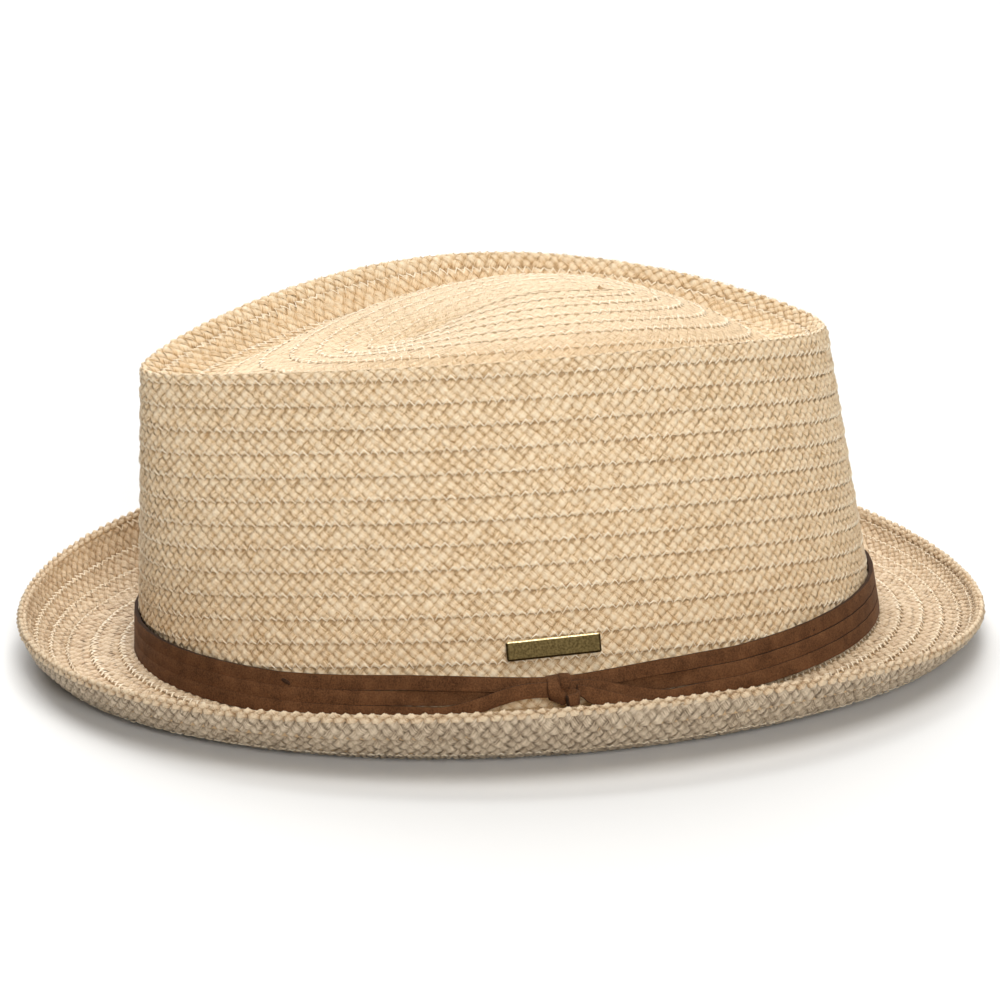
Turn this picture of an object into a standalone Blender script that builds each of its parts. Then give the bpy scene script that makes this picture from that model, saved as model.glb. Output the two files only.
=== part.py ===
"""Porkpie hat of sewn straw braid, with a band of three suede laces and a small brass plaque.

Metres, +Z up. The front of the hat points to -Y and the wearer's left is +X, the side of the
knot and the plaque. The hat rests on the flat of its brim at z = 0, and the origin lies on that
floor in the middle of the brim's outline.
"""
import math
from collections import namedtuple

import bpy
from mathutils import Quaternion, Vector

# Straw body, all measured on the outside
HEAD_LENGTH = 0.2062
HEAD_WIDTH = 0.1630
CROWN_HEIGHT = 0.0926
BRIM_FRONT = 0.0330
BRIM_BACK = 0.0281
BRIM_SIDE = 0.0373
CURL_FRONT = 0.0111
CURL_BACK = 0.0068
CURL_SIDE = 0.0180
STRAW_WALL = 0.0020

# Band of three laces
LACE_HEIGHT = 0.0035
LACE_THICKNESS = 0.0012
LACE_GAP = 0.0003
BAND_LIFT = 0.0005

# Knot on the wearer's left, a little in front of the middle of the head
KNOT_FORWARD = 0.0105
BUNDLE_LIFT = 0.0073
WRAP_WIDTH = 0.0038
FOLD_WIDTH = 0.0025
FOLD_SLACK = 0.0003
GATHER_LENGTH = 0.0320
SETTLE_LENGTH = 0.0120
SHORT_TAIL = 0.0048
LONG_TAIL = 0.0222

# Plaque
PLAQUE_LENGTH = 0.0252
PLAQUE_HEIGHT = 0.0052
PLAQUE_THICKNESS = 0.0012
PLAQUE_BEVEL = 0.0004
PLAQUE_LIFT = 0.0195
PLAQUE_FORWARD = 0.0095
PLAQUE_TILT = math.radians(1.8)

# Space left between two pieces that lie against each other
CLEARANCE = 0.0003

# How finely the shapes are divided
STATIONS = 60
TIP_STEPS = 2
CURL_STEPS = 4
KNOT_STATION = 0.0025

# The flat of the brim, as shares of its reach, and the angle that its curl turns through. The
# outline is fuller than an ellipse behind by BRIM_FULLNESS.
FLAT_FRONT = 0.55
FLAT_BACK = 0.50
FLAT_SIDE = 0.36
CURL_ANGLE = math.radians(75)
BRIM_FULLNESS = 0.10

# The front end of the fold hangs down to this share of the bundle's height
FOLD_END = 0.2

# The tip of the crown reaches over the ridge and this share of the way down the side
TIP_LIP = 0.065

# Rings of the crown's top, from the start of the braid out to the ridge. front, back and side
# are shares of half the head's length and width, middle is how far behind the head's middle a
# ring is widest, the pinches narrow it towards its ends, and the heights are shares of
# CROWN_HEIGHT.
TIP_COLUMNS = "place front back middle side pinch_front pinch_back z_front z_side z_back"
TipRow = namedtuple("TipRow", TIP_COLUMNS)
TIP = [
    TipRow("start of braid", 0.192, 0.253, 0.12, 0.000, 0.00, 0.00, 0.929, 1.026, 1.019),
    TipRow("dome", 0.313, 0.384, 0.12, 0.150, 0.05, 0.05, 0.906, 1.018, 0.991),
    TipRow("dome side", 0.435, 0.505, 0.12, 0.300, 0.12, 0.10, 0.893, 1.002, 0.945),
    TipRow("dome shoulder", 0.556, 0.617, 0.10, 0.420, 0.22, 0.15, 0.890, 0.979, 0.888),
    TipRow("groove side", 0.662, 0.697, 0.08, 0.500, 0.32, 0.18, 0.870, 0.929, 0.837),
    TipRow("groove", 0.758, 0.758, 0.05, 0.556, 0.38, 0.20, 0.842, 0.865, 0.812),
    TipRow("groove wall", 0.849, 0.809, 0.03, 0.607, 0.41, 0.20, 0.819, 0.891, 0.819),
    TipRow("ridge side", 0.930, 0.852, 0.01, 0.668, 0.45, 0.20, 0.858, 0.973, 0.852),
    TipRow("ridge", 0.981, 0.878, 0.00, 0.707, 0.45, 0.20, 0.896, 1.000, 0.868),
]

# Outline of the long tail. along is a share of LONG_TAIL; low and high are its two edges, in
# shares of LACE_HEIGHT above the bundle's lower edge.
TailRow = namedtuple("TailRow", "along low high")
LONG_TAIL_OUTLINE = [
    TailRow(0.00, 0.10, 0.80),
    TailRow(0.08, -0.35, 0.70),
    TailRow(0.19, -0.95, 0.45),
    TailRow(0.39, -1.30, 0.05),
    TailRow(0.66, -1.34, -0.60),
    TailRow(1.00, -1.30, -1.20),
]

# Outline of the short tail. down is a share of SHORT_TAIL; near and far are its two edges, in
# shares of LACE_HEIGHT past the wrap, and proud is how far it bends out, in LACE_THICKNESS.
StubRow = namedtuple("StubRow", "down near far proud")
SHORT_TAIL_OUTLINE = [
    StubRow(0.0, 0.00, 0.62, 0.0),
    StubRow(0.4, 0.06, 0.84, 0.1),
    StubRow(0.7, 0.22, 1.06, 0.5),
    StubRow(1.0, 0.42, 1.24, 1.2),
]

Ring = namedtuple("Ring", TIP_COLUMNS.removeprefix("place "))

HALF_LENGTH = HEAD_LENGTH / 2
HALF_WIDTH = HEAD_WIDTH / 2
HEAD_Y = (BRIM_FRONT - BRIM_BACK) / 2
LAYER = LACE_THICKNESS + CLEARANCE
KNOT_ANGLE = math.acos(KNOT_FORWARD / HALF_LENGTH)
GRIP = WRAP_WIDTH / 2 + CLEARANCE + FOLD_WIDTH + CLEARANCE


def clear_scene():
    for old in list(bpy.data.objects):
        bpy.data.objects.remove(old, do_unlink=True)
    for old in list(bpy.data.collections):
        bpy.data.collections.remove(old)


def collection(name):
    group = bpy.data.collections.new(name)
    bpy.context.scene.collection.children.link(group)
    return group


def material(name, colour, roughness, metallic=0.0):
    finish = bpy.data.materials.new(name)
    finish.use_nodes = True
    shader = finish.node_tree.nodes["Principled BSDF"]
    shader.inputs["Base Color"].default_value = (*colour, 1.0)
    shader.inputs["Roughness"].default_value = roughness
    shader.inputs["Metallic"].default_value = metallic
    finish.diffuse_color = (*colour, 1.0)
    return finish


def ease(share):
    """Smooth step from 0 to 1."""
    share = min(max(share, 0.0), 1.0)
    return share * share * (3 - 2 * share)


def between(table, key, place, column):
    """Value of a column at a place along a table, straight between its rows."""
    for row, after in zip(table, table[1:]):
        start, end = getattr(row, key), getattr(after, key)
        if place <= end or after is table[-1]:
            share = (place - start) / (end - start)
            return getattr(row, column) * (1 - share) + getattr(after, column) * share


# Rings and walls of the straw body

def ring_point(ring, angle):
    """Point of a ring at an angle round the hat: 0 is the front, 90 degrees the wearer's left."""
    forward, side = math.cos(angle), math.sin(angle)
    ahead = forward > 0
    reach = ring.front + ring.middle if ahead else ring.back - ring.middle
    pinch = ring.pinch_front if ahead else ring.pinch_back
    end_z = ring.z_front if ahead else ring.z_back
    share = forward * forward
    x = ring.side * side * (1 - pinch * share)
    z = ring.z_side + (end_z - ring.z_side) * share
    return Vector((x, HEAD_Y + ring.middle - reach * forward, z))


def tip_ring(row):
    heights = [STRAW_WALL + CROWN_HEIGHT * share for share in (row.z_front, row.z_side, row.z_back)]
    lengths = [HALF_LENGTH * share for share in (row.front, row.back, row.middle)]
    return Ring(*lengths, HALF_WIDTH * row.side, row.pinch_front, row.pinch_back, *heights)


def smooth_rings(rings, steps):
    """The rings with others on a smooth curve between them."""
    result = []
    for index in range(len(rings) - 1):
        before = rings[max(index - 1, 0)]
        start, end = rings[index], rings[index + 1]
        after = rings[min(index + 2, len(rings) - 1)]
        for step in range(steps):
            u = step / steps
            weights = (-u * (1 - u) ** 2 / 2, 1 - u * u * (5 - 3 * u) / 2,
                       u * (1 + u * (4 - 3 * u)) / 2, -u * u * (1 - u) / 2)
            columns = zip(before, start, end, after)
            result.append(Ring(*(sum(w * v for w, v in zip(weights, values)) for values in columns)))
    return result + [rings[-1]]


HEADLINE = Ring(HALF_LENGTH, HALF_LENGTH, 0, HALF_WIDTH, 0, 0, STRAW_WALL, STRAW_WALL, STRAW_WALL)
RIDGE = tip_ring(TIP[-1])


def wall_point(angle, height):
    """Point on the outside of the crown's wall, at a height above the top of the brim."""
    foot, top = ring_point(HEADLINE, angle), ring_point(RIDGE, angle)
    return foot.lerp(top, height / (top.z - foot.z))


def wall_share(share):
    """Ring of wall points a share of the way down from the ridge to the brim."""
    points = []
    for station in range(STATIONS):
        angle = math.tau * station / STATIONS
        points.append(ring_point(RIDGE, angle).lerp(ring_point(HEADLINE, angle), share))
    return points


def brim_ring(flat, curl, rise):
    """Ring on the underside of the brim, by shares of its flat, of its curl and of its rise."""
    front, back, side = (reach * (level * flat + (1 - level) * curl) for reach, level in (
        (BRIM_FRONT, FLAT_FRONT), (BRIM_BACK, FLAT_BACK), (BRIM_SIDE, FLAT_SIDE)))
    return Ring(HALF_LENGTH + front, HALF_LENGTH + back, 0, HALF_WIDTH + side,
                0, -BRIM_FULLNESS * side / BRIM_SIDE,
                CURL_FRONT * rise, CURL_SIDE * rise, CURL_BACK * rise)


def ring_points(ring):
    return [ring_point(ring, math.tau * station / STATIONS) for station in range(STATIONS)]


def surface(name, rows, finish, group, ring_closed=True):
    """Open surface through rows of points, each row joined to the next."""
    verts, faces, place = [], [], {}

    def number(point):
        key = tuple(round(value, 6) for value in point)
        if key not in place:
            place[key] = len(verts)
            verts.append(point)
        return place[key]

    count = len(rows[0])
    for row, following in zip(rows, rows[1:]):
        for step in range(count if ring_closed else count - 1):
            onward = (step + 1) % count
            corners = [number(row[step]), number(following[step]),
                       number(following[onward]), number(row[onward])]
            faces.append(list(dict.fromkeys(corners)))
    mesh = bpy.data.meshes.new(name)
    mesh.from_pydata(verts, [], faces)
    mesh.shade_smooth()
    item = bpy.data.objects.new(name, mesh)
    mesh.materials.append(finish)
    group.objects.link(item)
    return item


def thicken(item, thickness, side):
    """Give a surface its wall: side +1 along its normals, -1 against them."""
    wall = item.modifiers.new("wall", "SOLIDIFY")
    wall.thickness = thickness
    wall.offset = side
    wall.use_even_offset = True
    wall.use_quality_normals = True
    return item


def build_tip(finish, group):
    """Top of the crown, from the start of the braid over the ridge to the top of the wall."""
    top = [ring_points(ring) for ring in smooth_rings([tip_ring(row) for row in TIP], TIP_STEPS)]
    return thicken(surface("crown_tip", top + [wall_share(TIP_LIP)], finish, group),
                   STRAW_WALL, -1)


def build_wall(finish, group, cutters):
    """Side of the crown, cut level at its foot so that it stands on the brim."""
    head = TIP_LIP + CLEARANCE / CROWN_HEIGHT
    below = 1 + 2 * STRAW_WALL / CROWN_HEIGHT
    rows = [wall_share(share) for share in (head, 0.35, 0.7, below)]
    wall = thicken(surface("crown_wall", rows, finish, group), STRAW_WALL, -1)

    seat = STRAW_WALL + CLEARANCE
    depth = 10 * STRAW_WALL
    bpy.ops.mesh.primitive_cube_add(size=1, location=(0, HEAD_Y, seat - depth / 2))
    cutter = bpy.context.object
    cutter.name = "crown_seat_cutter"
    cutter.scale = (1.5 * HEAD_WIDTH, 1.5 * HEAD_LENGTH, depth)
    cutter.hide_render = True
    cutter.display_type = "WIRE"
    for old in list(cutter.users_collection):
        old.objects.unlink(cutter)
    cutters.objects.link(cutter)
    cut = wall.modifiers.new("seat on the brim", "BOOLEAN")
    cut.operation = "DIFFERENCE"
    cut.solver = "EXACT"
    cut.object = cutter
    return wall


def build_brim(finish, group):
    """Drawn by its underside: flat on the floor, then turning up on an arc to the rim."""
    half_length, half_width = HALF_LENGTH - STRAW_WALL, HALF_WIDTH - STRAW_WALL
    inner = Ring(half_length, half_length, 0, half_width, 0, 0, 0, 0, 0)
    rings = [inner, brim_ring(0.5, 0, 0), brim_ring(1, 0, 0)]
    for step in range(1, CURL_STEPS + 1):
        turned = CURL_ANGLE * step / CURL_STEPS
        curl = math.sin(turned) / math.sin(CURL_ANGLE)
        rise = (1 - math.cos(turned)) / (1 - math.cos(CURL_ANGLE))
        rings.append(brim_ring(1, curl, rise))
    rows = [ring_points(ring) for ring in rings]
    return thicken(surface("brim", rows, finish, group), STRAW_WALL, 1)


# Band and knot, placed on the crown's wall

def band_angle(run):
    """Angle round the hat of a place on the band, by its distance behind the knot."""
    return KNOT_ANGLE + run / HALF_LENGTH


def off_wall(angle, height, stand):
    """Point that stands off the wall by a distance along the wall's own normal."""
    small = 0.01
    point = wall_point(angle, height)
    along = wall_point(angle + small, height) - wall_point(angle - small, height)
    up = wall_point(angle, height + small) - point
    return point + along.cross(up).normalized() * stand


def band_stations():
    """Angles round the band: the crown's own stations, and finer ones through the knot."""
    reach = GATHER_LENGTH + SETTLE_LENGTH
    count = 2 * math.ceil(reach / KNOT_STATION)
    fine = [band_angle(reach * (2 * step / count - 1)) for step in range(count + 1)]
    coarse = [math.tau * station / STATIONS for station in range(STATIONS)]
    gap = KNOT_STATION / HALF_LENGTH
    coarse = [angle for angle in coarse if not fine[0] - gap < angle < fine[-1] + gap]
    return sorted(fine + coarse)


def fanned(run):
    """1 in the bundle at the knot, falling to 0 where the laces lie one above another."""
    return ease((GATHER_LENGTH - abs(run)) / (GATHER_LENGTH - GRIP))


def settled(run):
    """1 as long as the laces overlap, then 0 where they lie on the wall again."""
    return ease((GATHER_LENGTH + SETTLE_LENGTH - abs(run)) / SETTLE_LENGTH)


def lifted(run):
    """1 where the knot's turns pass behind the bundle, 0 further along."""
    return ease((GATHER_LENGTH / 2 + GRIP - abs(run)) / (GATHER_LENGTH / 2))


def lace_height(index, run):
    """Lower edge of a lace, counted from the brim up."""
    own = BAND_LIFT + index * (LACE_HEIGHT + LACE_GAP)
    return own + (BUNDLE_LIFT - own) * fanned(run)


def bundle_stand(index, run):
    """How far a lace stands off the wall: middle lace inside, then the top and bottom ones."""
    stacked = ease(2 * fanned(run))
    over = {1: 0.0, 2: settled(run), 0: settled(run) + stacked}[index]
    return CLEARANCE + LAYER * (lifted(run) + over)


def build_lace(name, index, finish, group):
    low, high = [], []
    for angle in band_stations():
        run = (angle - KNOT_ANGLE) * HALF_LENGTH
        height, stand = lace_height(index, run), bundle_stand(index, run)
        low.append(off_wall(angle, height, stand))
        high.append(off_wall(angle, height + LACE_HEIGHT, stand))
    return thicken(surface(name, [high, low], finish, group), LACE_THICKNESS, 1)


def turned_path(corners, radius, closed):
    """Corners of a (stand, height) path, each rounded by an arc of three points."""
    path = []
    count = len(corners)
    for index, corner in enumerate(corners):
        here = Vector(corner)
        if not closed and index in (0, count - 1):
            path.append(here)
            continue
        before, after = Vector(corners[index - 1]), Vector(corners[(index + 1) % count])
        first = here + (before - here).normalized() * radius
        last = here + (after - here).normalized() * radius
        middle = (first + last) / 2
        path += [first, middle.lerp(here, math.sqrt(2) - 1), last]
    return path


def build_turn(name, corners, start, width, closed, finish, group):
    """Lace bent along a path across the band, as wide as it is long along the band."""
    rows = []
    for run in (start, start + width):
        path = turned_path(corners, LACE_THICKNESS / 2, closed)
        rows.append([off_wall(band_angle(run), height, stand) for stand, height in path])
    return thicken(surface(name, rows, finish, group, closed), LACE_THICKNESS, 1)


def build_wrap(finish, group):
    """Closed turn round the bundle, drawn by its inner face."""
    back = CLEARANCE + LACE_THICKNESS
    front = back + 3 * LAYER + CLEARANCE
    low = BUNDLE_LIFT - CLEARANCE
    high = BUNDLE_LIFT + LACE_HEIGHT + CLEARANCE
    corners = [(back, low), (front, low), (front, high), (back, high)]
    return build_turn("knot_wrap", corners, -WRAP_WIDTH / 2, WRAP_WIDTH, True, finish, group)


def build_fold(finish, group):
    """Lace hooked over the top of the bundle, drawn by its inner face."""
    back = CLEARANCE + LACE_THICKNESS
    front = back + 3 * LAYER + CLEARANCE
    high = BUNDLE_LIFT + LACE_HEIGHT + FOLD_SLACK
    behind = BUNDLE_LIFT
    before = BUNDLE_LIFT + LACE_HEIGHT * FOLD_END
    corners = [(front, before), (front, high), (back, high), (back, behind)]
    start = WRAP_WIDTH / 2 + CLEARANCE
    return build_turn("knot_fold", corners, start, FOLD_WIDTH, False, finish, group)


def build_long_tail(finish, group):
    """Pointed end over the band, one layer out from the lowest lace."""
    start = GRIP
    count = math.ceil(LONG_TAIL / KNOT_STATION)
    low, high = [], []
    for step in range(count + 1):
        share = step / count
        run = start + LONG_TAIL * share
        stand = bundle_stand(0, run) + LAYER
        for edge, column in ((low, "low"), (high, "high")):
            shift = between(LONG_TAIL_OUTLINE, "along", share, column)
            edge.append(off_wall(band_angle(run), BUNDLE_LIFT + LACE_HEIGHT * shift, stand))
    return thicken(surface("tail_long", [high, low], finish, group, False), LACE_THICKNESS, 1)


def build_short_tail(finish, group):
    """Stub that hangs from the knot, in front of the bundle and bent out at its cut end."""
    top = BUNDLE_LIFT + LACE_HEIGHT * FOLD_END - CLEARANCE
    start = WRAP_WIDTH / 2 + CLEARANCE
    stand = CLEARANCE + 4 * LAYER
    near, far = [], []
    for row in SHORT_TAIL_OUTLINE:
        height = top - SHORT_TAIL * row.down
        out = stand + LACE_THICKNESS * row.proud
        for edge, shift in ((near, row.near), (far, row.far)):
            edge.append(off_wall(band_angle(start + LACE_HEIGHT * shift), height, out))
    return thicken(surface("tail_short", [far, near], finish, group, False), LACE_THICKNESS, 1)


def build_plaque(finish, group):
    angle = math.acos(PLAQUE_FORWARD / HALF_LENGTH)
    point = off_wall(angle, PLAQUE_LIFT, CLEARANCE + PLAQUE_THICKNESS / 2)
    out = (point - wall_point(angle, PLAQUE_LIFT)).normalized()
    tilt = Quaternion((0, 0, 1), PLAQUE_TILT)
    bpy.ops.mesh.primitive_cube_add(size=1)
    plaque = bpy.context.object
    plaque.name = "plaque"
    for vertex in plaque.data.vertices:
        x, y, z = vertex.co
        vertex.co = (x * PLAQUE_LENGTH, y * PLAQUE_HEIGHT, z * PLAQUE_THICKNESS)
    plaque.location = point
    plaque.rotation_euler = (out.to_track_quat("Z", "Y") @ tilt).to_euler()
    edge = plaque.modifiers.new("edge", "BEVEL")
    edge.width = PLAQUE_BEVEL
    edge.segments = 1
    plaque.data.materials.append(finish)
    for old in list(plaque.users_collection):
        old.objects.unlink(plaque)
    group.objects.link(plaque)
    return plaque


clear_scene()
hat = collection("porkpie_hat")
cutters = collection("cutters")
build_tip(material("tip_straw", (0.74, 0.56, 0.36), 0.75), hat)
build_wall(material("wall_straw", (0.70, 0.52, 0.33), 0.75), hat, cutters)
build_brim(material("brim_straw", (0.66, 0.49, 0.31), 0.75), hat)
for place, lace_name in enumerate(("lace_bottom", "lace_middle", "lace_top")):
    build_lace(lace_name, place, material(lace_name, (0.115, 0.052, 0.024), 0.9), hat)
build_wrap(material("knot_wrap", (0.125, 0.057, 0.027), 0.9), hat)
build_fold(material("knot_fold", (0.125, 0.057, 0.027), 0.9), hat)
build_short_tail(material("tail_short", (0.12, 0.055, 0.026), 0.9), hat)
build_long_tail(material("tail_long", (0.12, 0.055, 0.026), 0.9), hat)
build_plaque(material("plaque_brass", (0.30, 0.21, 0.09), 0.4, 1.0), hat)
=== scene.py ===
"""Looks of the porkpie hat: sewn straw braid, a band of three suede laces and a brass plaque.

Metres, in the CAD's own frame. The front of the hat points to -Y and the knot is on +X.
"""
import math

import bmesh
import bpy
import numpy as np
from mathutils import Matrix, Vector


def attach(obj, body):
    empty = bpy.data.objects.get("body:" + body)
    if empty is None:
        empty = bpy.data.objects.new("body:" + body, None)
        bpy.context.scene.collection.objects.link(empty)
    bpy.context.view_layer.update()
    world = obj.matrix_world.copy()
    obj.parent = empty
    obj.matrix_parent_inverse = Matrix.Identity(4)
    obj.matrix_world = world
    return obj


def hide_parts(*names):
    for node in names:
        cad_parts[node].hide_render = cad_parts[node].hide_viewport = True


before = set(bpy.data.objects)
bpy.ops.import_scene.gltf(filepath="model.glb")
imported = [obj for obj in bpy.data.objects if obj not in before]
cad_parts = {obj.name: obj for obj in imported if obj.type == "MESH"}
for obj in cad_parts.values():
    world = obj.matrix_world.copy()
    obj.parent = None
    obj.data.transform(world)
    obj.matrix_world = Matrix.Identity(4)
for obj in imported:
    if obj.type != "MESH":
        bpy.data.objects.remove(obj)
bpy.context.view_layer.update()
chance = np.random.default_rng(11)

# Camera. It stands at the photograph's viewing angle, a little over a metre from the wearer's
# left side of the hat, just above the brim and turned by half a degree about its own axis.
CAMERA_AZIMUTH = math.radians(74.382)
CAMERA_ELEVATION = math.radians(16.877)
CAMERA_ROLL = 0.01047
CAMERA_DISTANCE = 1.3
CAMERA_TARGET = Vector((0, 0.00484, 0.045))
CAMERA_LENS = 170.56
CAMERA_SHIFT = (-0.01644, -0.02462)

toward = Vector((math.sin(CAMERA_AZIMUTH) * math.cos(CAMERA_ELEVATION),
                 -math.cos(CAMERA_AZIMUTH) * math.cos(CAMERA_ELEVATION),
                 math.sin(CAMERA_ELEVATION)))
level = Vector((math.cos(CAMERA_AZIMUTH), math.sin(CAMERA_AZIMUTH), 0))
upright = toward.cross(level)
turned_right = level * math.cos(CAMERA_ROLL) - upright * math.sin(CAMERA_ROLL)
turned_up = level * math.sin(CAMERA_ROLL) + upright * math.cos(CAMERA_ROLL)
view = bpy.data.cameras.new("camera")
view.lens = CAMERA_LENS
view.shift_x, view.shift_y = CAMERA_SHIFT
view.clip_start, view.clip_end = 0.05, 20
camera = bpy.data.objects.new("camera", view)
camera.matrix_world = Matrix.Translation(CAMERA_TARGET + toward * CAMERA_DISTANCE) @ Matrix(
    (turned_right, turned_up, toward)).transposed().to_4x4()
bpy.context.scene.collection.objects.link(camera)
bpy.context.scene.camera = camera

# Studio. White paper lies under the hat, with a soft box overhead, a smaller one in front and a
# wide one behind that keeps the paper white; the room all round is pale, so shadows stay soft.
PAPER_SIZE = 6.0
PAPER_COLOUR = (0.74, 0.74, 0.735)
ROOM_COLOUR = (1.0, 0.995, 0.985)
ROOM_STRENGTH = 0.12
SOFT_BOXES = (
    ("overhead", (0.30, 0.10, 1.5), 1.0, 15.0, (1.0, 0.985, 0.96)),
    ("front", (1.7, -0.15, 0.75), 0.5, 18.5, (1.0, 0.985, 0.96)),
    ("backdrop", (-2.8, 0.2, 2.4), 3.0, 160.0, (1.0, 1.0, 1.0)),
)

room = bpy.data.worlds.new("room")
room.use_nodes = True
room_light = room.node_tree.nodes["Background"]
room_light.inputs["Color"].default_value = (*ROOM_COLOUR, 1)
room_light.inputs["Strength"].default_value = ROOM_STRENGTH
bpy.context.scene.world = room
bpy.context.scene.view_settings.view_transform = "Standard"

for box_name, place, size, watts, tint in SOFT_BOXES:
    lamp = bpy.data.lights.new(box_name, "AREA")
    lamp.energy, lamp.size, lamp.color = watts, size, tint
    stand = bpy.data.objects.new(box_name, lamp)
    stand.location = place
    stand.rotation_euler = (Vector(place) - CAMERA_TARGET).to_track_quat("Z", "Y").to_euler()
    bpy.context.scene.collection.objects.link(stand)

sheet = bmesh.new()
bmesh.ops.create_grid(sheet, x_segments=1, y_segments=1, size=PAPER_SIZE / 2)
paper_mesh = bpy.data.meshes.new("paper")
sheet.to_mesh(paper_mesh)
sheet.free()
paper = bpy.data.objects.new("paper", paper_mesh)
bpy.context.scene.collection.objects.link(paper)
white_paper = bpy.data.materials.new("white_paper")
white_paper.use_nodes = True
paper_shader = white_paper.node_tree.nodes["Principled BSDF"]
paper_shader.inputs["Base Color"].default_value = (*PAPER_COLOUR, 1)
paper_shader.inputs["Roughness"].default_value = 0.9
paper_mesh.materials.append(white_paper)

# Form of the straw. The hat is one long braid sewn in a spiral and steamed over a block, so
# its surface is a stack of rings: a point is found by its angle round the hat, 0 at the front,
# and by the row of braid that it lies in, counted from the middle of the tip outwards.
HALF_LENGTH, HALF_WIDTH, HEAD_Y = 0.1031, 0.0815, 0.00245
STRAW_WALL, CROWN_HEIGHT = 0.0020, 0.0926
TIP_RINGS = (
    (0.192, 0.253, 0.12, 0.000, 0.00, 0.00, 0.929, 1.026, 1.019),
    (0.313, 0.384, 0.12, 0.150, 0.05, 0.05, 0.906, 1.018, 0.991),
    (0.435, 0.505, 0.12, 0.300, 0.12, 0.10, 0.893, 1.002, 0.945),
    (0.556, 0.617, 0.10, 0.420, 0.22, 0.15, 0.890, 0.979, 0.888),
    (0.662, 0.697, 0.08, 0.500, 0.32, 0.18, 0.870, 0.929, 0.837),
    (0.758, 0.758, 0.05, 0.556, 0.38, 0.20, 0.842, 0.865, 0.812),
    (0.849, 0.809, 0.03, 0.607, 0.41, 0.20, 0.819, 0.891, 0.819),
    (0.930, 0.852, 0.01, 0.668, 0.45, 0.20, 0.858, 0.973, 0.852),
    (0.981, 0.878, 0.00, 0.707, 0.45, 0.20, 0.896, 1.000, 0.868),
)
ROW = 0.0062
TIP_ROWS = 10.5
WALL_ROWS = 15.5
RIDGE_PASSES = 20
ROW_STEPS = 24
ANGLE_STEPS = 720
PLACE_STEPS = 400


def smoothly(u, before, start, end, after):
    """Point at a share u of the way from start to end, on a smooth curve through all four."""
    return (-u * (1 - u) ** 2 * before + (2 - u * u * (5 - 3 * u)) * start
            + u * (1 + u * (4 - 3 * u)) * end - u * u * (1 - u) * after) / 2


def ring_points(rings, place, angle):
    """Points at a place along a list of rings, on a smooth curve through them, and an angle."""
    last = len(rings) - 1
    start = np.clip(np.floor(place).astype(int), 0, last - 1)
    u = np.clip(place - start, 0, 1)[..., None]
    ring = smoothly(u, *(rings[np.clip(start + k, 0, last)] for k in (-1, 0, 1, 2)))
    (front, back, middle, side, pinch_front, pinch_back,
     z_front, z_side, z_back) = np.moveaxis(ring, -1, 0)
    forward, share = np.cos(angle), np.cos(angle) ** 2
    ahead = forward > 0
    reach = np.where(ahead, front + middle, back - middle)
    pinch = np.where(ahead, pinch_front, pinch_back)
    end_z = np.where(ahead, z_front, z_back)
    return np.stack([np.sin(angle) * side * (1 - pinch * share),
                     HEAD_Y + middle - reach * forward,
                     z_side + (end_z - z_side) * share], -1)


def with_normals(points):
    """A sheet of the surface: its points by angle and row, and its outward normals."""
    joined = np.concatenate([points[-2:-1], points, points[1:2]])
    across = joined[2:] - joined[:-2]
    down = np.gradient(points, axis=1)
    out = np.cross(down, across)
    return points, out / (np.linalg.norm(out, axis=-1, keepdims=True) + 1e-12)


def laid(surface, angle, row, height):
    """Places on a sheet of the surface, by angle and row, raised by a height."""
    a = np.mod(angle / math.tau, 1) * ANGLE_STEPS
    r = np.clip(row * ROW_STEPS, 0, surface[0].shape[1] - 1.001)
    ia, ir = np.floor(a).astype(int), np.floor(r).astype(int)
    fa, fr = (a - ia)[..., None], (r - ir)[..., None]
    point, out = (grid[ia, ir] * (1 - fa) * (1 - fr) + grid[ia + 1, ir] * fa * (1 - fr)
                  + grid[ia, ir + 1] * (1 - fa) * fr + grid[ia + 1, ir + 1] * fa * fr
                  for grid in surface)
    return point + out * height[..., None]


def evenly(rings, rows, at_angles):
    """Places along the rings that split their mean length at some angles into even rows."""
    fine = np.linspace(0, len(rings) - 1, PLACE_STEPS)
    length = np.zeros(len(fine))
    for angle in at_angles:
        path = ring_points(rings, fine, np.full(len(fine), angle))
        length[1:] += np.cumsum(np.linalg.norm(np.diff(path, axis=0), axis=1))
    return np.interp(np.linspace(0, 1, rows), length / length[-1], fine)


tip_rings = np.array(TIP_RINGS) * ([HALF_LENGTH] * 3 + [HALF_WIDTH, 1, 1] + [CROWN_HEIGHT] * 3)
tip_rings[:, 6:] += STRAW_WALL
foot_ring = np.array([[HALF_LENGTH, HALF_LENGTH, 0, HALF_WIDTH, 0, 0] + [STRAW_WALL] * 3])
angles = np.linspace(0, math.tau, ANGLE_STEPS + 1)
tip_place = evenly(tip_rings, round(TIP_ROWS * ROW_STEPS) + 1, (math.pi / 2, math.pi))
tip_part = ring_points(tip_rings, *np.meshgrid(tip_place, angles))
ridge_line = tip_part[:, -1]
foot_line = ring_points(np.repeat(foot_ring, 2, 0), np.zeros(len(angles)), angles)
slant = foot_line - ridge_line
slant_length = np.linalg.norm(slant, axis=1)
down_wall = np.arange(1, round(WALL_ROWS * ROW_STEPS)) / ROW_STEPS * ROW
wall_part = ridge_line[:, None] + (slant / slant_length[:, None])[:, None] * down_wall[:, None]
crown_points = np.concatenate([tip_part, wall_part], 1)
for ridge_pass in range(RIDGE_PASSES):
    crown_points[:, 1:-1] = (crown_points[:, :-2] + 2 * crown_points[:, 1:-1]
                             + crown_points[:, 2:]) / 4
crown_surface = with_normals(crown_points)

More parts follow.
